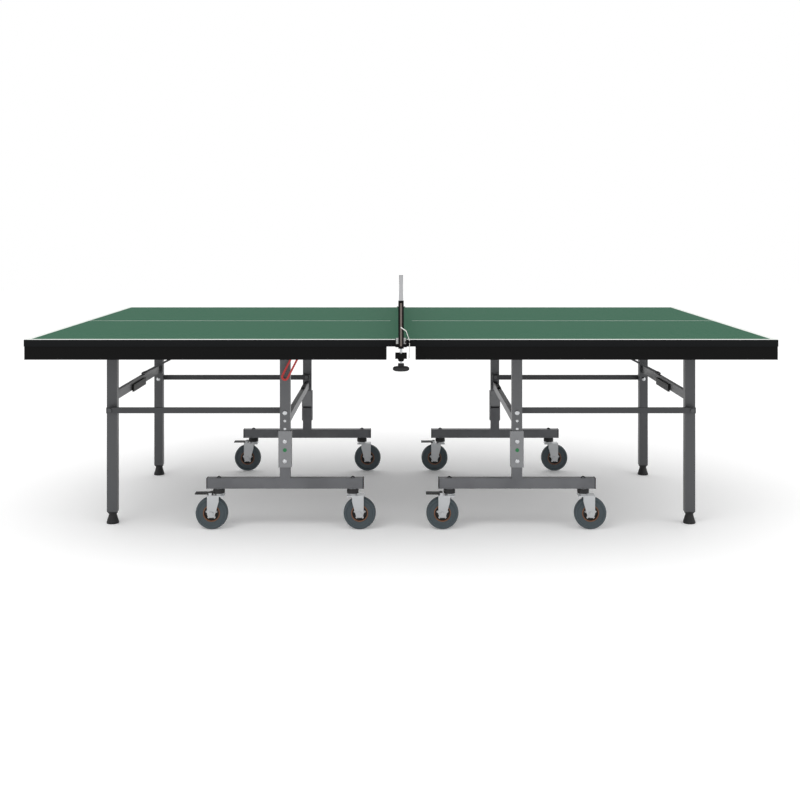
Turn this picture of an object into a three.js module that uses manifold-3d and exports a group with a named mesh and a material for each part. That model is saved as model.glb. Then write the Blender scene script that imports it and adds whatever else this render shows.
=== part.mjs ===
// A full-size table tennis table: two like halves that each fold up on a wheeled base, and a clamped net.
// Millimetres, +Z up. The origin is on the floor under the middle of the net. X runs along the table, and
// "u" is the distance from the net, so a half's X is side * u with side -1 on the left and +1 on the right.
// "near" is the -Y side and "far" is the +Y side.
import * as THREE from 'three';
import { mergeVertices } from 'three/addons/utils/BufferGeometryUtils.js';
import Module from 'manifold-3d';

const wasm = await Module();
wasm.setup();

// ---- Driving dimensions ----
const TABLE_LENGTH = 2740;
const TABLE_WIDTH = 1525;
const PLAY_HEIGHT = 760;
const BOARD_THICKNESS = 25;
const BOARD_GAP = 3.4;
const TOUCH = 0.3;

const APRON_BOTTOM = 687;
const APRON_WALL = 22;
const APRON_INSET = 1.5;
const APRON_NET_END = 55;
const CROSS_RAIL_WIDTH = 30;
const NET_RAIL_U = 117.5;
const NET_RAIL_WIDTH = 25;

const POST_U = 448;
const POST_Y = 497;
const LEG_U = 1138;
const LEG_Y = 414;
const TUBE_X = 40;
const TUBE_Y = 30;
const POST_TOP = 684;
const HINGE_OFFSET = 50;
const HINGE_Z = 711;
const HINGE_PIN_R = 5;
const PIN_CLEARANCE = 0.6;
const LUG_INNER = 15.5;
const LUG_OUTER = 21.5;

const LINK_Z = 451;
const LINK_Y = 455;
const LINK_HEIGHT = 22;
const LINK_THICKNESS = 12;
const LEG_BAR_Z = [480, 515];
const LEG_BAR_WIDTH = 15;
const POST_BAR_Z = [396, 427];
const POST_BAR_WIDTH = 20;
const FOOT_HEIGHT = 45;

const BEAM_U = [148, 748];
const BEAM_Z = [158, 198];
const SLEEVE_Z = [241, 381];
const SLEEVE_WIDTH = 50;
const SLEEVE_Y = [484, 517];
const LOWER_POST_TOP = 300;
const POST_BOTTOM = 310;

const CASTER_U = { inner: 187, outer: 705 };
const CASTER_TRAIL = 27;
const WHEEL_R = 62.5;
const WHEEL_HALF_WIDTH = 16;
const AXLE_R = 6;
const AXLE_CLEARANCE = 0.4;
const FORK_GAP = 18.5;
const FORK_PLATE = 3;
const FORK_CROWN_Z = [128, 133];
const FORK_HEAD_Z = [139, 157.6];
const PEDAL_REACH = 91;
const PEDAL_PIVOT = 29;
const PEDAL_Z = 138;
const PEDAL_HALF_WIDTH = 18;

const STRUT_Y = 100;
const STRUT_TOP = { u: 830, z: 677 };
const STRUT_END = { u: 1138, z: 521 };
const LATCH_Y = [-135, 80];
const CATCH_PIN = { u: 390, z: 703 };
const CATCH_TIP = { u: 446, z: 592 };
const CATCH_Y = [522, 530];

const NET_HEIGHT = 152.5;
const NET_OVERHANG = 152.5;
const NET_POST_WIDTH = 19.2;
const NET_POST_DEPTH = 16;
const NET_TAPE_HEIGHT = 15;
const CLAMP_HALF_WIDTH = 21;
const CLAMP_SCREW_Y = 794;
const CORD_R = 1.5;

const HALF_WIDTH = TABLE_WIDTH / 2;
const HALF_LENGTH = TABLE_LENGTH / 2;
const BOARD_BOTTOM = PLAY_HEIGHT - BOARD_THICKNESS;
const APRON_TOP = BOARD_BOTTOM - TOUCH;
const TOP_PIVOT_U = POST_U - HINGE_OFFSET;
const LEG_PIVOT_U = LEG_U - HINGE_OFFSET;
const NET_TOP = PLAY_HEIGHT + NET_HEIGHT;
const NET_POST_Y = HALF_WIDTH + NET_OVERHANG;

// ---- Materials ----
function material(color, roughness, metalness) {
  return new THREE.MeshStandardMaterial({ color, roughness, metalness });
}
const GREEN_TOP = material('#2f6048', 0.55, 0);
const BLACK_STEEL = material('#1b1b1c', 0.5, 0.3);
const GREY_STEEL = material('#5b5c60', 0.4, 0.6);
const ZINC = material('#b9bbbd', 0.35, 0.8);
const BLACK_PLASTIC = material('#161616', 0.6, 0);
const RUBBER = material('#2c3a3f', 0.7, 0);
const RED_PLASTIC = material('#b3261e', 0.4, 0);
const NETTING = material('#15211b', 0.9, 0);
const WHITE_TAPE = material('#d9dadb', 0.8, 0);

// ---- Solids ----
function solid(geometry) {
  const bare = geometry.clone();
  bare.deleteAttribute('normal');
  bare.deleteAttribute('uv');
  const merged = mergeVertices(bare, 1e-4);
  const vertProperties = Float32Array.from(merged.attributes.position.array);
  const triVerts = Uint32Array.from(merged.index.array);
  const made = new wasm.Manifold(new wasm.Mesh({ numProp: 3, vertProperties, triVerts }));
  if (made.volume() > 0) return made;
  for (let i = 0; i < triVerts.length; i += 3) {
    [triVerts[i], triVerts[i + 1]] = [triVerts[i + 1], triVerts[i]];
  }
  return new wasm.Manifold(new wasm.Mesh({ numProp: 3, vertProperties, triVerts }));
}

function geometryOf(made) {
  const mesh = made.getMesh();
  const geometry = new THREE.BufferGeometry();
  geometry.setAttribute('position', new THREE.BufferAttribute(mesh.vertProperties, 3));
  geometry.setIndex(new THREE.BufferAttribute(mesh.triVerts, 1));
  geometry.computeVertexNormals();
  return geometry;
}

const join = (first, ...rest) => rest.reduce((sum, next) => sum.add(next), first);
const cut = (first, ...rest) => rest.reduce((left, next) => left.subtract(next), first);

function box(x, y, z) {
  const [x0, x1] = [Math.min(...x), Math.max(...x)];
  const [y0, y1] = [Math.min(...y), Math.max(...y)];
  const geometry = new THREE.BoxGeometry(x1 - x0, y1 - y0, z[1] - z[0]);
  return solid(geometry.translate((x0 + x1) / 2, (y0 + y1) / 2, (z[0] + z[1]) / 2));
}

// A turned piece about a line along +Z or +Y through (x, y, z); the profile is [radius, distance along it].
function turned(profile, x, y, z, axis, segments = 16) {
  const geometry = new THREE.LatheGeometry(profile.map(([r, h]) => new THREE.Vector2(r, h)), segments);
  if (axis === 'z') geometry.rotateX(Math.PI / 2);
  return solid(geometry.translate(x, y, z));
}

function rod(x, z, y, radius, segments = 12) {
  const [y0, y1] = [Math.min(...y), Math.max(...y)];
  return turned([[0, y0], [radius, y0], [radius, y1], [0, y1]], x, 0, z, 'y', segments);
}

function rodZ(y, z, radius) {
  return turned([[0, z[0]], [radius, z[0]], [radius, z[1]], [0, z[1]]], 0, y, 0, 'z', 12);
}

// A plate with its outline in X and Z, and its thickness along Y.
function plate(outline, y) {
  const shape = new THREE.Shape(outline.map(([x, z]) => new THREE.Vector2(x, z)));
  const [y0, y1] = [Math.min(...y), Math.max(...y)];
  const geometry = new THREE.ExtrudeGeometry(shape, { depth: y1 - y0, bevelEnabled: false });
  return solid(geometry.rotateX(Math.PI / 2).translate(0, y1, 0));
}

const table = new THREE.Group();
function node(name, made, look) {
  const mesh = new THREE.Mesh(geometryOf(made), look.clone());
  mesh.name = name;
  table.add(mesh);
}

// ---- One half ----
const alongU = (side, range) => range.map((u) => side * u);
const alongY = (row, range) => range.map((y) => row * y);
const centred = (middle, width) => [middle - width / 2, middle + width / 2];

function playingBoard(side) {
  const x = alongU(side, [BOARD_GAP / 2, HALF_LENGTH]);
  return box(x, [-HALF_WIDTH, HALF_WIDTH], [BOARD_BOTTOM, PLAY_HEIGHT]);
}

// Two ears that hang a hinge pin beside a cross rail, on the rail's net side.
function hingeLugs(side, railU, pivotU, rowY, row) {
  const u = [pivotU - 13, railU - CROSS_RAIL_WIDTH / 2 + 1];
  const height = [HINGE_Z - 14, HINGE_Z + 12];
  const ears = [[rowY - LUG_OUTER, rowY - LUG_INNER], [rowY + LUG_INNER, rowY + LUG_OUTER]];
  const made = ears.map((y) => box(alongU(side, u), alongY(row, y), height));
  const past = alongY(row, centred(rowY, 2 * LUG_OUTER + 10));
  return cut(join(...made), rod(side * pivotU, HINGE_Z, past, HINGE_PIN_R + PIN_CLEARANCE));
}

function apronFrame(side, catchRow) {
  const outerY = HALF_WIDTH - APRON_INSET;
  const innerY = outerY - APRON_WALL;
  const outerU = HALF_LENGTH - APRON_INSET;
  const rails = [centred(NET_RAIL_U, NET_RAIL_WIDTH)];
  for (const u of [POST_U, STRUT_TOP.u, LEG_U]) rails.push(centred(u, CROSS_RAIL_WIDTH));
  rails.push([outerU - APRON_WALL, outerU]);
  const bay = (u) => box(alongU(side, u), [-innerY, innerY], [APRON_BOTTOM - 1, APRON_TOP + 1]);
  let frame = cut(
    box(alongU(side, [APRON_NET_END, outerU]), [-outerY, outerY], [APRON_BOTTOM, APRON_TOP]),
    bay([0, rails[0][0]]),
    ...rails.slice(1).map(([u], i) => bay([rails[i][1], u])),
  );
  for (const row of [-1, 1]) {
    const ear = [STRUT_Y + 6.5 * row, STRUT_Y + 10.5 * row];
    const strutEar = box(alongU(side, centred(STRUT_TOP.u, 18)), ear, [STRUT_TOP.z - 7, APRON_BOTTOM + 3]);
    frame = join(frame, strutEar, hingeLugs(side, POST_U, TOP_PIVOT_U, POST_Y, row),
      hingeLugs(side, LEG_U, LEG_PIVOT_U, LEG_Y, row));
  }
  const strutPin = rod(side * STRUT_TOP.u, STRUT_TOP.z, centred(STRUT_Y, 23), 3, 12);
  const catchPinY = alongY(catchRow, [POST_Y + LUG_OUTER - 1, CATCH_Y[1] + 3]);
  return join(frame, strutPin, rod(side * CATCH_PIN.u, CATCH_PIN.z, catchPinY, 4));
}

// The T-shaped base of one side: a floor beam on two casters, and the lower post.
function wheelFrame(side, row) {
  const y = alongY(row, centred(POST_Y, TUBE_Y));
  const lowerPost = box(alongU(side, centred(POST_U, TUBE_X)), y, [BEAM_Z[1] - 1, LOWER_POST_TOP]);
  return join(box(alongU(side, BEAM_U), y, BEAM_Z), lowerPost);
}

// The bracket on a post's or leg's top carries the hinge pin on the net side of the tube.
function hingeBracket(side, tubeU, pivotU, rowY, row) {
  const y = alongY(row, centred(rowY, 27));
  const shelf = box(alongU(side, [pivotU - 10, tubeU + TUBE_X / 2]), y, [POST_TOP - 8, APRON_BOTTOM - 0.5]);
  const outline = [[-10, POST_TOP - 8], [10, POST_TOP - 8], [10, HINGE_Z + 4], [5, HINGE_Z + 9],
    [-5, HINGE_Z + 9], [-10, HINGE_Z + 4]];
  const arm = plate(outline.map(([du, z]) => [side * (pivotU + du), z]), y);
  const pin = rod(side * pivotU, HINGE_Z, alongY(row, centred(rowY, 2 * LUG_OUTER + 2)), HINGE_PIN_R);
  return join(shelf, arm, pin);
}

// The sleeve at the foot of each post wraps the top of the lower post on three sides.
function post(side, row) {
  const outerFace = POST_Y + TUBE_Y / 2;
  const tubeX = alongU(side, centred(POST_U, TUBE_X));
  const tube = box(tubeX, alongY(row, centred(POST_Y, TUBE_Y)), [POST_BOTTOM, POST_TOP]);
  const sleeve = cut(
    box(alongU(side, centred(POST_U, SLEEVE_WIDTH)), alongY(row, SLEEVE_Y), SLEEVE_Z),
    box(alongU(side, centred(POST_U, TUBE_X + 2 * TOUCH)), alongY(row, [0, outerFace + TOUCH]),
      [SLEEVE_Z[0] - 1, POST_BOTTOM - TOUCH]),
  );
  const linkPin = rod(side * POST_U, LINK_Z, alongY(row, [LINK_Y - 10, POST_Y]), HINGE_PIN_R);
  const linkHead = rod(side * POST_U, LINK_Z, alongY(row, [LINK_Y - 11, LINK_Y - 6.5]), 8, 12);
  return join(tube, sleeve, linkPin, linkHead, hingeBracket(side, POST_U, TOP_PIVOT_U, POST_Y, row));
}

function postCrossbar(side) {
  const reach = POST_Y - TUBE_Y / 2 - TOUCH;
  const bar = box(alongU(side, centred(POST_U, POST_BAR_WIDTH)), [-reach, reach], POST_BAR_Z);
  const flange = alongU(side, centred(POST_U, TUBE_X - 4));
  const height = [POST_BAR_Z[0] - 14, POST_BAR_Z[1] + 8];
  return join(bar, ...[-1, 1].map((row) => box(flange, alongY(row, [reach - 4, reach]), height)));
}

function legFrame(side) {
  const reach = LEG_Y - TUBE_Y / 2 + 1;
  let frame = box(alongU(side, centred(LEG_U, LEG_BAR_WIDTH)), [-reach, reach], LEG_BAR_Z);
  for (const row of [-1, 1]) {
    const tube = box(alongU(side, centred(LEG_U, TUBE_X)), alongY(row, centred(LEG_Y, TUBE_Y)),
      [FOOT_HEIGHT + TOUCH, POST_TOP]);
    const pin = rod(side * LEG_U, LINK_Z, alongY(row, [LEG_Y, LINK_Y + 10]), HINGE_PIN_R);
    const head = rod(side * LEG_U, LINK_Z, alongY(row, [LINK_Y + 6.4, LINK_Y + 11]), 8, 12);
    frame = join(frame, tube, pin, head, hingeBracket(side, LEG_U, LEG_PIVOT_U, LEG_Y, row));
  }
  return frame;
}

function link(side, row) {
  const y = alongY(row, centred(LINK_Y, LINK_THICKNESS));
  const reach = LINK_HEIGHT / 2 + 3;
  const bar = box(alongU(side, [POST_U - reach, LEG_U + reach]), y, centred(LINK_Z, LINK_HEIGHT));
  const past = alongY(row, centred(LINK_Y, 40));
  return cut(bar, ...[POST_U, LEG_U].map((u) => rod(side * u, LINK_Z, past, HINGE_PIN_R + PIN_CLEARANCE)));
}

function foot(side, row) {
  const profile = [[0, 0], [24, 0], [24, 6], [15.5, 33], [15.5, FOOT_HEIGHT], [0, FOOT_HEIGHT]];
  return turned(profile, side * LEG_U, row * LEG_Y, 0, 'z', 20);
}

// The strut hangs from the top frame and rests its cross pin just above the leg crossbar.
function lockStrut(side) {
  const [du, dz] = [STRUT_END.u - STRUT_TOP.u, STRUT_END.z - STRUT_TOP.z];
  const length = Math.hypot(du, dz);
  const at = (along, lift) => [
    side * (STRUT_TOP.u + (du * along - dz * lift) / length),
    STRUT_TOP.z + (dz * along + du * lift) / length,
  ];
  const outline = [at(-7, -4.5), at(length + 3, -4), at(length + 3, 4), at(-7, 4.5)];
  const hole = rod(side * STRUT_TOP.u, STRUT_TOP.z, centred(STRUT_Y, 14), 3 + 0.4, 12);
  const crossPin = rod(side * STRUT_END.u, STRUT_END.z, centred(STRUT_Y, 40), 5.4);
  return join(cut(plate(outline, centred(STRUT_Y, 10)), hole), crossPin);
}

function lockLatch(side) {
  const face = LEG_U - LEG_BAR_WIDTH / 2 - TOUCH;
  const hinge = rod(side * (face - 4.35), LEG_BAR_Z[0] + 20.6, LATCH_Y, 4.35);
  const grip = box(alongU(side, [face - 8.2, face - 0.3]), LATCH_Y, [LEG_BAR_Z[0] - 6, LEG_BAR_Z[0] + 20.6]);
  return join(hinge, grip);
}

// A loop that hangs aslant beside the near left post (and the far right one), on a pin of the top frame.
function safetyCatch(side, row) {
  const [du, dz] = [CATCH_TIP.u - CATCH_PIN.u, CATCH_TIP.z - CATCH_PIN.z];
  const length = Math.hypot(du, dz);
  const stadium = (radius, from, to) => {
    const outline = [];
    for (const [centre, start] of [[from, 0], [to, Math.PI]]) {
      for (let i = 0; i <= 8; i++) {
        const angle = start + (Math.PI * i) / 8;
        const [across, along] = [radius * Math.cos(angle), centre - radius * Math.sin(angle)];
        const u = CATCH_PIN.u + (du * along - dz * across) / length;
        outline.push([side * u, CATCH_PIN.z + (dz * along + du * across) / length]);
      }
    }
    return outline;
  };
  const y = alongY(row, CATCH_Y);
  const past = alongY(row, [CATCH_Y[0] - 5, CATCH_Y[1] + 5]);
  const hole = rod(side * CATCH_PIN.u, CATCH_PIN.z, past, 4.6, 12);
  return cut(plate(stadium(15, 0, length), y), plate(stadium(7.5, 30, length), past), hole);
}

// ---- Casters: `dir` is the way along X that the wheel trails ----
function forkCheek(stemX, dir, y) {
  const outline = [[-2, FORK_CROWN_Z[1] - 1], [CASTER_TRAIL + 16, FORK_CROWN_Z[1] - 1]];
  for (let i = 0; i <= 5; i++) {
    const angle = (Math.PI * i) / 5;
    outline.push([CASTER_TRAIL + 16 * Math.cos(angle), WHEEL_R - 16 * Math.sin(angle)]);
  }
  outline.push([-2, FORK_CROWN_Z[0] - 18]);
  return plate(outline.map(([along, z]) => [stemX + dir * along, z]), y);
}

function fork(stemX, y, dir, braked) {
  const wheelX = stemX + dir * CASTER_TRAIL;
  const outer = FORK_GAP + FORK_PLATE;
  const [low, high] = FORK_HEAD_Z;
  const neck = FORK_CROWN_Z[1] - 1;
  const head = turned([[0, neck], [16, neck], [16, low], [22, low], [22, high - 5], [19, high], [0, high]],
    stemX, y, 0, 'z');
  const crownX = [stemX - 21 * dir, stemX + (CASTER_TRAIL + 16.5) * dir];
  const crown = box(crownX, [y - outer - 0.3, y + outer + 0.3], FORK_CROWN_Z);
  let made = join(head, crown, rod(wheelX, WHEEL_R, [y - outer - 2, y + outer + 2], AXLE_R));
  for (const row of [-1, 1]) {
    const cheek = [y + row * FORK_GAP, y + row * outer];
    const nut = rod(wheelX, WHEEL_R, [y + row * (outer - 1), y + row * (outer + 5)], 9, 6);
    made = join(made, forkCheek(stemX, dir, cheek), nut);
    if (braked) {
      const ear = box([stemX + 25 * dir, stemX + 37 * dir], cheek, [FORK_CROWN_Z[1] - 1, PEDAL_Z + 4]);
      made = join(made, ear);
    }
  }
  return braked ? join(made, rod(stemX + PEDAL_PIVOT * dir, PEDAL_Z, [y - outer, y + outer], 2)) : made;
}

function wheel(stemX, y, dir) {
  const bore = AXLE_R + AXLE_CLEARANCE;
  const [half, shoulder] = [WHEEL_HALF_WIDTH, WHEEL_R - 5];
  const profile = [[bore, -half], [shoulder, -half], [WHEEL_R, 7 - half], [WHEEL_R, half - 7],
    [shoulder, half], [bore, half], [bore, -half]];
  return turned(profile, stemX + dir * CASTER_TRAIL, y, WHEEL_R, 'y', 20);
}

function brakePedal(stemX, y, dir) {
  const pivotX = stemX + PEDAL_PIVOT * dir;
  const width = [y - PEDAL_HALF_WIDTH, y + PEDAL_HALF_WIDTH];
  const barrel = rod(pivotX, PEDAL_Z, width, 3.8, 12);
  const tread = box([pivotX, stemX + PEDAL_REACH * dir], width, [PEDAL_Z - 2, PEDAL_Z + 2]);
  return cut(join(barrel, tread), rod(pivotX, PEDAL_Z, [y - 25, y + 25], 2 + AXLE_CLEARANCE, 12));
}

// ---- Net ----
function netPost(row) {
  const outerFace = NET_POST_Y + NET_POST_DEPTH / 2;
  const groove = box([-3.9, 3.9], alongY(row, [outerFace - 4, outerFace + 5]), [752, NET_TOP - 5]);
  const y = alongY(row, centred(NET_POST_Y, NET_POST_DEPTH));
  return cut(box(centred(0, NET_POST_WIDTH), y, [746, NET_TOP]), groove);
}

function netClamp(row) {
  const edge = HALF_WIDTH + 0.8;
  const width = [-CLAMP_HALF_WIDTH, CLAMP_HALF_WIDTH];
  const arm = box([-6, 6], alongY(row, [edge + 1, NET_POST_Y - NET_POST_DEPTH / 2 - TOUCH]), [745, 757]);
  const face = box(width, alongY(row, [edge, edge + 4.7]), [733, PLAY_HEIGHT + 3.2]);
  const web = box([-4.5, 4.5], alongY(row, [edge, edge + 8]), [700, 735]);
  const jaw = box(width, alongY(row, [edge, CLAMP_SCREW_Y + 14]), [696, 714]);
  const boss = turned([[0, 686], [9, 686], [13, 697], [0, 697]], 0, row * CLAMP_SCREW_Y, 0, 'z');
  const tongues = [-1, 1].map((s) => box([8 * s, 18 * s], alongY(row, [740, edge + 2]),
    [PLAY_HEIGHT + TOUCH, PLAY_HEIGHT + 3.2]));
  const thread = rodZ(row * CLAMP_SCREW_Y, [600, 740], 4.6);
  const clamp = cut(join(arm, face, web, jaw, boss, ...tongues), thread);
  return row < 0 ? join(clamp, ...cordHook(edge)) : clamp;
}

// The tension cord is laid over this hook, at the end of the near clamp's face.
function cordHook(edge) {
  return [
    box([CLAMP_HALF_WIDTH - 6, CLAMP_HALF_WIDTH], [-edge - 12, -edge - 2], [750, 755]),
    box([CLAMP_HALF_WIDTH - 6, 36], [-edge - 12, -edge - 7], [750, 755]),
  ];
}

function clampScrew(row) {
  const spindle = rodZ(row * CLAMP_SCREW_Y, [660, 731], 4);
  const profile = [[0, 652], [25, 652], [29.5, 655], [29.5, 663], [26, 666], [11, 667], [11, 678], [0, 678]];
  const knob = turned(profile, 0, row * CLAMP_SCREW_Y, 0, 'z');
  return join(spindle, knob);
}

// The loose end of the net's tension cord: out of the near post, over the clamp's peg, and straight down.
const CORD_ROUTE = [
  [0, -923.6, 821], [0, -928, 820.8], [1.6, -933, 819.6], [6, -936.5, 817], [12, -935.5, 813],
  [16.5, -928, 808.5], [18.8, -914, 803.5], [20.4, -896, 797.5], [22, -876, 790.8], [23.6, -855, 784],
  [25.2, -834, 777.6], [26.8, -814, 771.2], [28.3, -797, 765.2], [29.5, -784, 760.6],
  [30.2, -774.5, 758.6], [30.4, -768.4, 756.3],
  [30.4, -766.3, 752.6], [30.4, -766, 748], [30.3, -766, 738], [30.2, -766, 726], [30, -766.2, 714],
  [29.6, -766.5, 702], [29, -767, 692],
];

function tensionCord() {
  const path = new THREE.CatmullRomCurve3(CORD_ROUTE.map(([x, y, z]) => new THREE.Vector3(x, y, z)));
  const section = new THREE.Shape();
  section.absarc(0, 0, CORD_R, 0, 2 * Math.PI);
  const sweep = { steps: 36, extrudePath: path, curveSegments: 4, bevelEnabled: false };
  return solid(new THREE.ExtrudeGeometry(section, sweep));
}

// ---- The table ----
const HALVES = [
  { half: 'left', side: -1, catchRow: -1, braked: 'outer' },
  { half: 'right', side: 1, catchRow: 1, braked: 'inner' },
];
const ROWS = { near: -1, far: 1 };

for (const { half, side, catchRow, braked } of HALVES) {
  node(`${half}_playing_board`, playingBoard(side), GREEN_TOP);
  node(`${half}_apron_frame`, apronFrame(side, catchRow), BLACK_STEEL);
  node(`${half}_post_crossbar`, postCrossbar(side), GREY_STEEL);
  node(`${half}_leg_frame`, legFrame(side), GREY_STEEL);
  node(`${half}_lock_strut`, lockStrut(side), GREY_STEEL);
  node(`${half}_lock_latch`, lockLatch(side), BLACK_PLASTIC);
  node(`${half}_safety_catch`, safetyCatch(side, catchRow), RED_PLASTIC);
  for (const [place, row] of Object.entries(ROWS)) {
    node(`${half}_${place}_wheel_frame`, wheelFrame(side, row), GREY_STEEL);
    node(`${half}_${place}_post`, post(side, row), GREY_STEEL);
    node(`${half}_${place}_link`, link(side, row), GREY_STEEL);
    node(`${half}_${place}_foot`, foot(side, row), BLACK_PLASTIC);
    for (const [end, u] of Object.entries(CASTER_U)) {
      const dir = end === 'outer' ? side : -side;
      const caster = `${half}_${place}_${end}`;
      node(`${caster}_fork`, fork(side * u, row * POST_Y, dir, end === braked), ZINC);
      node(`${caster}_wheel`, wheel(side * u, row * POST_Y, dir), RUBBER);
      if (end === braked) {
        node(`${caster}_brake_pedal`, brakePedal(side * u, row * POST_Y, dir), BLACK_PLASTIC);
      }
    }
  }
}

for (const [place, row] of Object.entries(ROWS)) {
  node(`${place}_net_post`, netPost(row), BLACK_STEEL);
  node(`${place}_net_clamp`, netClamp(row), BLACK_STEEL);
  node(`${place}_clamp_screw`, clampScrew(row), BLACK_PLASTIC);
}
const netReach = NET_POST_Y - NET_POST_DEPTH / 2 - 0.5;
const tapeBottom = NET_TOP - NET_TAPE_HEIGHT;
node('net', box([-1, 1], [-netReach, netReach], [PLAY_HEIGHT + 3.5, tapeBottom - TOUCH]), NETTING);
node('net_top_tape', box([-8, 8], [-netReach, netReach], [tapeBottom, NET_TOP - 0.5]), WHITE_TAPE);
node('net_tension_cord', tensionCord(), WHITE_TAPE);

export default table;
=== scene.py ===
# Looks of a folding table tennis table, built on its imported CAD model. Metres, in the CAD model's own frame.
import math

import bpy
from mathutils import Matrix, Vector


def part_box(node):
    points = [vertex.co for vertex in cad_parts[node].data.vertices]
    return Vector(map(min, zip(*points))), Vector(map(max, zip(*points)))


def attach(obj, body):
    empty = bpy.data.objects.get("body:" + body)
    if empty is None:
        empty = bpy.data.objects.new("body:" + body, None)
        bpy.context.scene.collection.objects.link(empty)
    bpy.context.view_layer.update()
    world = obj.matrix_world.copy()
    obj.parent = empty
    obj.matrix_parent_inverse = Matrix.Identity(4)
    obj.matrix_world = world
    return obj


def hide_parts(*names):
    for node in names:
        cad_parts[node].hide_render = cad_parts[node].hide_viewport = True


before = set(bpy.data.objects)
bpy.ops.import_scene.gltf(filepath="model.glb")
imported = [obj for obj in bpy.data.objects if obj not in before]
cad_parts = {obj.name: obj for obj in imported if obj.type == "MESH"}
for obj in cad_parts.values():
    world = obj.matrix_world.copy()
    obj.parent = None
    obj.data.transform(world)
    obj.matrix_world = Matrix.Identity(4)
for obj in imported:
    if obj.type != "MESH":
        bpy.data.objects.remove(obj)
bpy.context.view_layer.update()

MM = 0.001
SIDES = {"left": -1, "right": 1}
ROWS = {"near": -1, "far": 1}
SCENE = bpy.context.scene
CASTER_U = {"inner": 0.187, "outer": 0.705}
POST_U = 0.448
LEG_U = 1.138
FLOOR_GLOW = 0.12


# ---- Camera ----
def make_camera():
    data = bpy.data.cameras.new("camera")
    data.sensor_width = 36
    data.lens = 49.21
    data.shift_x = -0.0013
    data.shift_y = -0.2224
    data.clip_end = 60
    camera = bpy.data.objects.new("camera", data)
    camera.location = (0, -4.7324, 1.1871)
    camera.rotation_euler = (math.radians(90), 0, 0)
    SCENE.collection.objects.link(camera)
    SCENE.camera = camera


make_camera()


# ---- Materials ----
def linear(red, green, blue):
    def channel(value):
        value /= 255
        return value / 12.92 if value <= 0.04045 else ((value + 0.055) / 1.055) ** 2.4

    return (channel(red), channel(green), channel(blue), 1)


def plain(name, colour, roughness, metallic=0.0, specular=0.5):
    material = bpy.data.materials.new(name)
    material.use_nodes = True
    shader = material.node_tree.nodes["Principled BSDF"]
    shader.inputs["Base Color"].default_value = colour
    shader.inputs["Roughness"].default_value = roughness
    shader.inputs["Metallic"].default_value = metallic
    shader.inputs["Specular IOR Level"].default_value = specular
    return material


def speckled(material, scale, strength, distance=0.0002):
    """Gives the surface a fine grain, as powder coat and moulded plastic have."""
    nodes, links = material.node_tree.nodes, material.node_tree.links
    place = nodes.new("ShaderNodeTexCoord")
    noise = nodes.new("ShaderNodeTexNoise")
    noise.inputs["Scale"].default_value = scale
    bump = nodes.new("ShaderNodeBump")
    bump.inputs["Strength"].default_value = strength
    bump.inputs["Distance"].default_value = distance
    links.new(place.outputs["Object"], noise.inputs["Vector"])
    links.new(noise.outputs["Fac"], bump.inputs["Height"])
    links.new(bump.outputs["Normal"], nodes["Principled BSDF"].inputs["Normal"])
    return material


def varied(material, colour, other, scale, low=0.35, high=0.65):
    """Lets the colour drift between two close tones."""
    nodes, links = material.node_tree.nodes, material.node_tree.links
    place = nodes.new("ShaderNodeTexCoord")
    noise = nodes.new("ShaderNodeTexNoise")
    noise.inputs["Scale"].default_value = scale
    noise.inputs["Detail"].default_value = 4
    ramp = nodes.new("ShaderNodeValToRGB")
    ramp.color_ramp.elements[0].position = low
    ramp.color_ramp.elements[0].color = colour
    ramp.color_ramp.elements[1].position = high
    ramp.color_ramp.elements[1].color = other
    links.new(place.outputs["Object"], noise.inputs["Vector"])
    links.new(noise.outputs["Fac"], ramp.inputs["Fac"])
    links.new(ramp.outputs["Color"], nodes["Principled BSDF"].inputs["Base Color"])
    return material


def two_tone(material, first, second, output, axis, edge):
    """Second colour wherever the coordinate along the axis is past the edge. Output is Object or Normal."""
    nodes, links = material.node_tree.nodes, material.node_tree.links
    place = nodes.new("ShaderNodeTexCoord")
    split = nodes.new("ShaderNodeSeparateXYZ")
    past = nodes.new("ShaderNodeMath")
    past.operation = "GREATER_THAN"
    past.inputs[1].default_value = edge
    ramp = nodes.new("ShaderNodeValToRGB")
    ramp.color_ramp.interpolation = "CONSTANT"
    ramp.color_ramp.elements[0].color = first
    ramp.color_ramp.elements[1].position = 0.5
    ramp.color_ramp.elements[1].color = second
    links.new(place.outputs[output], split.inputs[0])
    links.new(split.outputs[axis], past.inputs[0])
    links.new(past.outputs[0], ramp.inputs["Fac"])
    links.new(ramp.outputs["Color"], nodes["Principled BSDF"].inputs["Base Color"])
    return material


GREEN = linear(46, 94, 71)
EDGE = linear(24, 25, 26)
TOP = two_tone(plain("painted top", GREEN, 0.6, specular=0.03), EDGE, GREEN, "Normal", "Z", 0.9)
WHITE_LINE = plain("line paint", linear(226, 230, 226), 0.55)
APRON = speckled(plain("black powder coat", linear(17, 17, 17), 0.55, 0.0, 0.05), 1400, 0.12)
GREY = speckled(
    varied(
        plain("grey powder coat", linear(92, 93, 96), 0.42, 0.35),
        linear(88, 89, 92),
        linear(98, 99, 102),
        9,
    ),
    1600,
    0.1,
)
LEG_GREY = speckled(plain("leg powder coat", linear(76, 77, 79), 0.42, 0.35), 1600, 0.1)
# The links' grey is darkened below the leg grey as painted shade.
SHADED_LINK_GREY = speckled(plain("link powder coat with painted shade", linear(62, 63, 65), 0.45, 0.3), 1600, 0.1)
ZINC = speckled(plain("zinc plate", linear(186, 188, 190), 0.34, 0.85), 700, 0.1)
STEEL = plain("bright steel", linear(196, 198, 200), 0.25, 0.95)
PLASTIC = speckled(plain("black plastic", linear(26, 26, 27), 0.55, specular=0.35), 900, 0.15)
TYRE = speckled(plain("tread", linear(58, 68, 73), 0.62), 700, 0.2)
RIM = plain("rim plastic", linear(110, 72, 48), 0.5)
RED = plain("red plastic", linear(190, 28, 26), 0.32)
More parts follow.
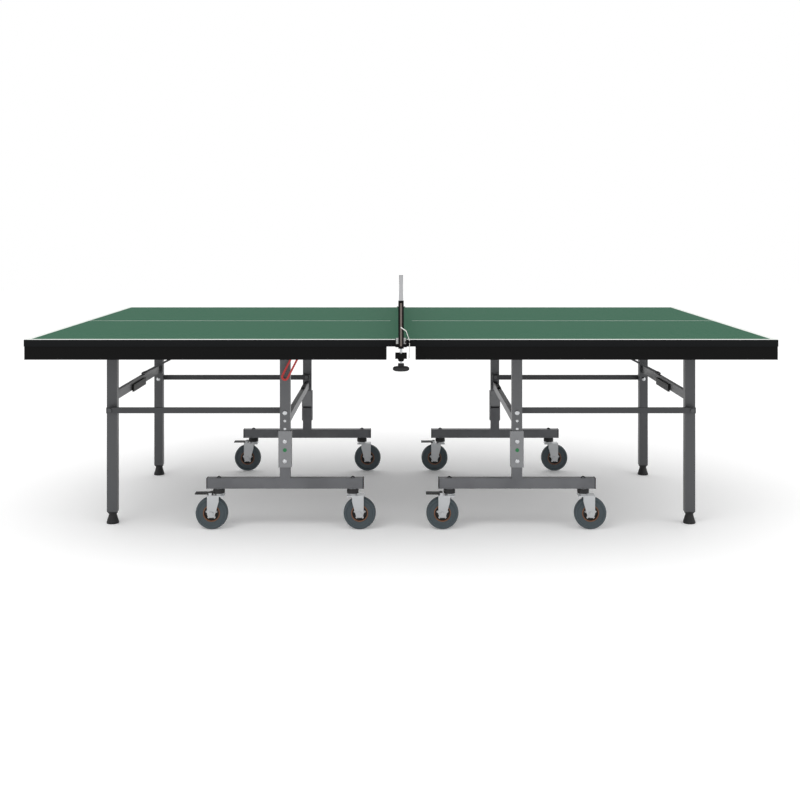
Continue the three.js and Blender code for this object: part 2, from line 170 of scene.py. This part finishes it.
NETTING = plain("net thread", linear(30, 34, 32), 0.9, specular=0.1)
# The net tape is white; its base colour is set to grey as painted shade.
SHADED_TAPE = speckled(plain("net tape with painted shade", linear(168, 168, 170), 0.9, specular=0.1), 2500, 0.3)
CORD = speckled(plain("cord braid", linear(232, 232, 228), 0.85), 3000, 0.4)
JAW = plain("jaw grey", linear(176, 177, 176), 0.5)
STRIP = plain("post strip", linear(104, 94, 88), 0.6)
GREEN_DOT = plain("level mark", linear(20, 110, 60), 0.4)


# ---- Pieces ----
def piece(name, vertices, faces, body, material, smooth=False):
    mesh = bpy.data.meshes.new(name)
    mesh.from_pydata([tuple(v) for v in vertices], [], faces)
    mesh.materials.append(material)
    mesh.validate()
    if smooth:
        mesh.shade_smooth()
        mesh.set_sharp_from_angle(angle=math.radians(35))
    made = bpy.data.objects.new(name, mesh)
    SCENE.collection.objects.link(made)
    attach(made, body)
    return made


BOX_FACES = [(0, 1, 3, 2), (4, 6, 7, 5), (0, 4, 5, 1), (2, 3, 7, 6), (0, 2, 6, 4), (1, 5, 7, 3)]


def corners(low, high):
    low, high = [min(a, b) for a, b in zip(low, high)], [max(a, b) for a, b in zip(low, high)]
    pick = (low, high)
    return [(pick[i][0], pick[j][1], pick[k][2]) for i in (0, 1) for j in (0, 1) for k in (0, 1)]


def block(name, low, high, body, material, bevel=0.0):
    made = piece(name, corners(low, high), BOX_FACES, body, material)
    if bevel:
        soften(made, bevel)
    return made


def soften(thing, width, segments=2):
    bevel = thing.modifiers.new("bevel", "BEVEL")
    bevel.width = width
    bevel.segments = segments
    bevel.limit_method = "ANGLE"
    bevel.angle_limit = math.radians(50)
    bevel.harden_normals = False


def spun(profile, centre, axis, segments=32, closed=False):
    """Vertices and faces of a turned shape. The profile is (radius, distance along the axis)."""
    rings, vertices, faces = [], [], []
    for radius, height in profile:
        steps = segments if radius > 0 else 1
        rings.append(list(range(len(vertices), len(vertices) + steps)))
        for i in range(steps):
            angle = 2 * math.pi * i / segments
            across, up = radius * math.cos(angle), radius * math.sin(angle)
            local = {"X": (height, across, up), "Y": (up, height, across), "Z": (across, up, height)}[axis]
            vertices.append(Vector(centre) + Vector(local))
    pairs = list(zip(rings, rings[1:]))
    if closed:
        pairs.append((rings[-1], rings[0]))
    for first, second in pairs:
        for i in range(segments):
            j = (i + 1) % segments
            near, far = len(first), len(second)
            ends = [first[i % near], first[j % near], second[j % far], second[i % far]]
            face = list(dict.fromkeys(ends))
            if len(face) > 2:
                faces.append(face)
    return vertices, faces


def turned(name, profile, centre, axis, body, material, segments=32, closed=False):
    vertices, faces = spun(profile, centre, axis, segments, closed)
    return piece(name, vertices, faces, body, material, smooth=True)


def bolt(name, centre, direction, radius, height, body, material):
    """A domed bolt head that stands on a face at the centre, towards +Y or -Y."""
    profile = [
        (0, -0.0005 * direction),
        (radius, -0.0005 * direction),
        (radius, 0.55 * height * direction),
        (0.72 * radius, 0.9 * height * direction),
        (0, height * direction),
    ]
    if direction < 0:
        profile.reverse()
    return turned(name, profile, centre, "Y", body, material, 18)


def paint(node, material, bevel=0.0):
    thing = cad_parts[node]
    for place in thing.material_slots:
        place.material = material
    if bevel:
        soften(thing, bevel)


# ---- The net's tension cord ----
CORD_ROUTE = [
    (0, -923.6, 821), (0, -928, 820.8), (1.6, -933, 819.6), (6, -936.5, 817), (12, -935.5, 813),
    (16.5, -928, 808.5), (18.8, -914, 803.5), (20.4, -896, 797.5), (22, -876, 790.8), (23.6, -855, 784),
    (25.2, -834, 777.6), (26.8, -814, 771.2), (28.3, -797, 765.2), (29.5, -784, 760.6),
    (30.2, -774.5, 758.6), (30.4, -768.4, 756.3), (30.4, -766.3, 752.6), (30.4, -766, 748),
    (30.3, -766, 738), (30.2, -766, 726), (30, -766.2, 714), (29.6, -766.5, 702), (29, -767, 692),
]
CORD_DIAMETER = 0.003


def tension_cord():
    curve = bpy.data.curves.new("tension_cord", "CURVE")
    curve.dimensions = "3D"
    curve.resolution_u = 6
    curve.bevel_depth = CORD_DIAMETER / 2
    curve.bevel_resolution = 3
    curve.use_fill_caps = True
    spline = curve.splines.new("BEZIER")
    spline.bezier_points.add(len(CORD_ROUTE) - 1)
    for point, place in zip(spline.bezier_points, CORD_ROUTE):
        point.co = Vector(place) * MM
        point.handle_left_type = "AUTO"
        point.handle_right_type = "AUTO"
    curve.materials.append(CORD)
    made = bpy.data.objects.new("tension_cord", curve)
    SCENE.collection.objects.link(made)
    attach(made, "net_set")
    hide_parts("net_tension_cord")


tension_cord()


# ---- Tops ----
LINE_RISE = 0.0004
LINE_WIDTH = 0.020
CENTRE_LINE_WIDTH = 0.003
CENTRE_LINE_GAP = 0.045


def top_lines(half, side):
    low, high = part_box(f"{half}_playing_board")
    top, width = high[2], high[1]
    inner, outer = sorted((abs(low[0]), abs(high[0])))
    body = f"{half}_top"

    def line(name, u0, u1, y0, y1):
        start, end = (side * u0, y0, top - 0.0002), (side * u1, y1, top + LINE_RISE)
        block(f"{half}_{name}", start, end, body, WHITE_LINE)

    line("end_line", outer - LINE_WIDTH, outer, -width, width)
    for place, row in ROWS.items():
        line(f"{place}_side_line", inner, outer - LINE_WIDTH, row * (width - LINE_WIDTH), row * width)
    half_line = CENTRE_LINE_WIDTH / 2
    line("centre_line", inner + CENTRE_LINE_GAP, outer - LINE_WIDTH, -half_line, half_line)


def apron_details(half, side):
    low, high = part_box(f"{half}_apron_frame")
    net_end = min(abs(low[0]), abs(high[0]))
    bottom = 0.687
    body = f"{half}_top"
    for place, row in ROWS.items():
        outer = row * high[1]
        block(
            f"{half}_{place}_rail_cap",
            (side * (net_end - 0.0025), outer - row * 0.0215, bottom + 0.0005),
            (side * (net_end + 0.0005), outer - row * 0.0005, high[2] - 0.0005),
            body,
            PLASTIC,
            0.0006,
        )


# ---- Bases ----
def base_details(half, side):
    body = f"{half}_base"
    for place, row in ROWS.items():
        low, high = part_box(f"{half}_{place}_wheel_frame")
        ends = sorted((abs(low[0]), abs(high[0])))
        beam_top, beam_low = 0.198, low[2]
        inner_y, outer_y = sorted((abs(low[1]), abs(high[1])))
        for name, u, out in (("net_cap", ends[0], -1), ("end_cap", ends[1], 1)):
            block(
                f"{half}_{place}_beam_{name}",
                (side * (u - 0.0005 * out), row * (inner_y - 0.0006), beam_low - 0.0004),
                (side * (u + 0.004 * out), row * (outer_y + 0.0006), beam_top + 0.0006),
                body,
                PLASTIC,
                0.001,
            )
        middle = row * (inner_y + outer_y) / 2
        for name, u in CASTER_U.items():
            stem_guard(f"{half}_{place}_{name}", side * u, middle, beam_top, body)
        post_fasteners(half, place, side, row, body)


def stem_guard(name, x, y, z, body):
    """The small arched guard over the end of a caster's stem, half sunk in the beam."""
    centre = (x, y, z - 0.0035)
    ring = [(0.0055, -0.003), (0.0095, -0.003), (0.0095, 0.003), (0.0055, 0.003)]
    turned(f"{name}_stem_guard", ring, centre, "Y", body, PLASTIC, 28, closed=True)
    stud = [(0, -0.0025), (0.005, -0.0025), (0.005, 0.0025), (0, 0.0025)]
    turned(f"{name}_stem_end", stud, centre, "Y", body, STEEL, 20)


def post_fasteners(half, place, side, row, body):
    tag = f"{half}_{place}"
    x = side * POST_U
    face = row * 0.517
    for name, z in (("upper", 0.341), ("lower", 0.265)):
        bolt(f"{tag}_sleeve_bolt_{name}", (x, face, z), row, 0.008, 0.005, body, STEEL)
    bolt(f"{tag}_level_mark", (x, face, 0.308), row, 0.0075, 0.0015, body, GREEN_DOT)
    bolt(f"{tag}_link_bolt", (x, row * 0.512, 0.451), row, 0.009, 0.006, body, STEEL)
    for name, z in (("high", 0.420), ("low", 0.389)):
        bolt(f"{tag}_bar_bolt_{name}", (x, row * 0.512, z), row, 0.0055, 0.0035, body, STEEL)


def crossbar_dark_block(half, side):
    """A black block on top of the crossbar, towards the far side."""
    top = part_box(f"{half}_post_crossbar")[1][2] - 0.008
    low, high = (side * 0.439, 0.255, top - 0.0005), (side * 0.457, 0.395, top + 0.006)
    block(f"{half}_crossbar_dark_block", low, high, f"{half}_base", PLASTIC, 0.002)


def leg_details(half, side):
    body = f"{half}_legs"
    for place, row in ROWS.items():
        bolt(f"{half}_{place}_leg_bolt", (side * LEG_U, row * 0.399, 0.451), -row, 0.009, 0.006, body, STEEL)
        collar = [(0.0158, 0.0405), (0.0195, 0.0405), (0.0195, 0.0445), (0.0158, 0.0445)]
        ride_on = f"{half}_{place}_levelling_foot"
        turned(f"{half}_{place}_foot_collar", collar, (side * LEG_U, row * 0.414, 0), "Z", ride_on,
               PLASTIC, 24, closed=True)


# ---- Casters ----
SPOKES = 5


def wheel_look(name, centre, body):
    half = 0.016
    tyre = [
        (0.033, -0.013), (0.049, -0.013), (0.053, -half), (0.058, -half), (0.0615, -0.0115), (0.0625, -0.006),
        (0.0625, 0.006), (0.0615, 0.0115), (0.058, half), (0.053, half), (0.049, 0.013), (0.033, 0.013),
    ]
    made = turned(f"{name}_tyre", tyre, centre, "Y", body, TYRE, 48, closed=True)
    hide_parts(f"{name}_wheel")
    rim = [
        (0.0288, -0.0145), (0.0318, -0.0145), (0.0332, -0.0125), (0.0332, 0.0125), (0.0318, 0.0145),
        (0.0288, 0.0145),
    ]
    turned(f"{name}_rim", rim, centre, "Y", body, RIM, 40, closed=True)
    web = [(0.0065, -0.006), (0.0291, -0.006), (0.0291, 0.006), (0.0065, 0.006)]
    turned(f"{name}_hub_web", web, centre, "Y", body, PLASTIC, 32, closed=True)
    core = [
        (0.0065, -0.0158), (0.0115, -0.0158), (0.013, -0.014), (0.013, 0.014), (0.0115, 0.0158),
        (0.0065, 0.0158),
    ]
    turned(f"{name}_hub_core", core, centre, "Y", body, ZINC, 28, closed=True)
    vertices, faces = [], []
    for i in range(SPOKES):
        angle = 2 * math.pi * i / SPOKES + math.pi / 2
        along = Vector((math.cos(angle), 0, math.sin(angle)))
        across = Vector((-math.sin(angle), 0, math.cos(angle)))
        start = len(vertices)
        for reach, width in ((0.0115, 0.0062), (0.0235, 0.0026)):
            for y in (-0.0118, 0.0118):
                for sign in (-1, 1):
                    corner = along * reach + across * width * sign + Vector((0, y, 0))
                    vertices.append(Vector(centre) + corner)
        for face in BOX_FACES:
            faces.append([start + k for k in face])
    piece(f"{name}_spokes", vertices, faces, body, ZINC)


def caster_details(half, place, side, row):
    for end, u in CASTER_U.items():
        name = f"{half}_{place}_{end}"
        low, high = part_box(f"{name}_wheel")
        centre = [(a + b) / 2 for a, b in zip(low, high)]
        wheel_look(name, centre, f"{name}_roller")
        stem = (side * u, row * 0.497, 0)
        cap = [
            (0.0221, 0.1395), (0.0228, 0.1395), (0.0228, 0.152), (0.0198, 0.1574), (0.0172, 0.1574),
            (0.0221, 0.1524),
        ]
        swivel = f"{name}_swivel"
        turned(f"{name}_head_cap", cap, stem, "Z", swivel, PLASTIC, 32, closed=True)
        paint(f"{name}_fork", ZINC, 0.0006)
        if f"{name}_brake_pedal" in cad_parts:
            paint(f"{name}_brake_pedal", PLASTIC, 0.001)


# ---- Net ----
CLAMP_SCREW_Y = 0.794
MESH_STEP = 0.0125
THREAD = 0.0011


def netting():
    low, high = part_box("net")
    vertices, faces = [], []

    def thread(first, last):
        start = len(vertices)
        vertices.extend(corners(first, last))
        faces.extend([start + i for i in face] for face in BOX_FACES)

    half = THREAD / 2
    columns = round((high[1] - low[1]) / MESH_STEP)
    for i in range(columns + 1):
        y = low[1] + half + (high[1] - low[1] - THREAD) * i / columns
        thread((-half, y - half, low[2]), (half, y + half, high[2] + 0.002))
    rows = round((high[2] - low[2]) / MESH_STEP)
    for i in range(rows):
        z = low[2] + half + (high[2] - low[2]) * i / rows
        thread((-half * 0.8, low[1], z - half), (half * 0.8, high[1], z + half))
    made = piece("netting", vertices, faces, "net_set", NETTING)
    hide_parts("net")
    return made


def top_tape(net):
    """A band of tape folded over the top of the net."""
    low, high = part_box("net_top_tape")
    skin = 0.0009
    fold, inner_fold = 0.002, 0.0026
    (left, _, bottom), (right, _, top) = low, high
    across = [
        (left, bottom), (left, top - fold), (left + fold, top), (right - fold, top),
        (right, top - fold), (right, bottom), (right - skin, bottom), (right - skin, top - inner_fold),
        (right - inner_fold, top - skin), (left + inner_fold, top - skin),
        (left + skin, top - inner_fold), (left + skin, bottom),
    ]
    count = len(across)
    vertices = [(x, y, z) for y in (low[1], high[1]) for x, z in across]
    faces = [[i, (i + 1) % count, count + (i + 1) % count, count + i] for i in range(count)]
    for end in (0, count):
        for i in range(count // 2 - 1):
            faces.append([end + i, end + i + 1, end + count - 2 - i, end + count - 1 - i])
    made = piece("net_tape_band", vertices, faces, "net_set", SHADED_TAPE)
    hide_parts("net_top_tape")


def net_hardware():
    for place, row in ROWS.items():
        low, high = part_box(f"{place}_net_post")
        outer = row * max(abs(low[1]), abs(high[1]))
        block(
            f"{place}_post_strip",
            (-0.0036, outer - row * 0.0042, low[2] + 0.008),
            (0.0036, outer - row * 0.0015, high[2] - 0.008),
            "net_set",
            STRIP,
            0.0005,
        )
        paint(f"{place}_net_post", APRON, 0.0008)
        paint(f"{place}_net_clamp", APRON)
        paint(f"{place}_clamp_screw", PLASTIC)
        knob_ribs(place, row)
        jaw_pads(place, row)


def knob_ribs(place, row):
    """Finger ribs round the clamp knob's rim."""
    vertices, faces = [], []
    centre, count = Vector((0, row * CLAMP_SCREW_Y, 0)), 12
    for i in range(count):
        angle = 2 * math.pi * i / count
        along = Vector((math.cos(angle), math.sin(angle), 0))
        across = Vector((-math.sin(angle), math.cos(angle), 0))
        start = len(vertices)
        for reach in (0.0262, 0.0297):
            for z in (0.6552, 0.6632):
                for sign in (-1, 1):
                    vertices.append(centre + along * reach + across * 0.0032 * sign + Vector((0, 0, z)))
        faces.extend([start + k for k in face] for face in BOX_FACES)
    piece(f"{place}_knob_ribs", vertices, faces, f"{place}_screw", PLASTIC)
    sleeve = [(0.0040, 0.6785), (0.0043, 0.6785), (0.0043, 0.7305), (0.0040, 0.7305)]
    middle = (0, row * CLAMP_SCREW_Y, 0)
    screw = f"{place}_screw"
    turned(f"{place}_spindle_plating", sleeve, middle, "Z", screw, STEEL, 20, closed=True)


def jaw_pads(place, row):
    """The light grey tongues that lie on the board, over the clamp's own steel."""
    for name, sign in (("left", -1), ("right", 1)):
        low, high = (sign * 0.0078, row * 0.7398, 0.7632), (sign * 0.0182, row * 0.7632, 0.7642)
        block(f"{place}_jaw_tongue_{name}", low, high, "net_set", JAW, 0.0004)
        low, high = (sign * 0.0080, row * 0.7677, 0.745), (sign * 0.0180, row * 0.7687, 0.7638)
        block(f"{place}_jaw_strip_{name}", low, high, "net_set", JAW, 0.0004)


# ---- The whole table ----
for half, side in SIDES.items():
    paint(f"{half}_playing_board", TOP)
    paint(f"{half}_apron_frame", APRON)
    paint(f"{half}_post_crossbar", GREY)
    paint(f"{half}_leg_frame", LEG_GREY)
    paint(f"{half}_lock_strut", LEG_GREY)
    paint(f"{half}_lock_latch", PLASTIC, 0.001)
    paint(f"{half}_safety_catch", RED, 0.0015)
    top_lines(half, side)
    apron_details(half, side)
    base_details(half, side)
    crossbar_dark_block(half, side)
    leg_details(half, side)
    for place, row in ROWS.items():
        paint(f"{half}_{place}_wheel_frame", GREY, 0.003)
        post_paint = plain(f"{half} {place} post", linear(93, 94, 96), 0.42, 0.35)
        light, dark = linear(126, 127, 129), linear(93, 94, 96)
        paint(f"{half}_{place}_post", two_tone(post_paint, light, dark, "Object", "Z", 0.3811))
        paint(f"{half}_{place}_link", SHADED_LINK_GREY, 0.002)
        paint(f"{half}_{place}_foot", PLASTIC)
        caster_details(half, place, side, row)

top_tape(netting())
net_hardware()


# ---- Studio ----
def studio():
    ground = bpy.data.meshes.new("floor")
    reach = 14
    square = [(-reach, -reach, 0), (reach, -reach, 0), (reach, reach, 0), (-reach, reach, 0)]
    ground.from_pydata(square, [], [(0, 1, 2, 3)])
    paper = plain("floor paint", linear(250, 250, 250), 0.85, specular=0.1)
    glow = paper.node_tree.nodes["Principled BSDF"].inputs
    glow["Emission Color"].default_value = (1, 1, 1, 1)
    glow["Emission Strength"].default_value = FLOOR_GLOW
    ground.materials.append(paper)
    floor = bpy.data.objects.new("floor", ground)
    floor.location.z = -0.0005
    SCENE.collection.objects.link(floor)

    world = bpy.data.worlds.new("studio")
    world.use_nodes = True
    world.node_tree.nodes["Background"].inputs["Color"].default_value = (1, 1, 1, 1)
    world.node_tree.nodes["Background"].inputs["Strength"].default_value = 1.0
    SCENE.world = world
    lamps = (("key", (-2.5, -3.5, 4.5), 60, 3.0), ("fill", (3.5, -2.0, 3.0), 25, 3.0))
    for name, place, energy, size in lamps:
        data = bpy.data.lights.new(name, "AREA")
        data.energy = energy
        data.size = size
        light = bpy.data.objects.new(name, data)
        light.location = place
        light.rotation_euler = (Vector((0, 0, 0.5)) - Vector(place)).to_track_quat("-Z", "Y").to_euler()
        SCENE.collection.objects.link(light)
    SCENE.view_settings.view_transform = "Standard"


studio()
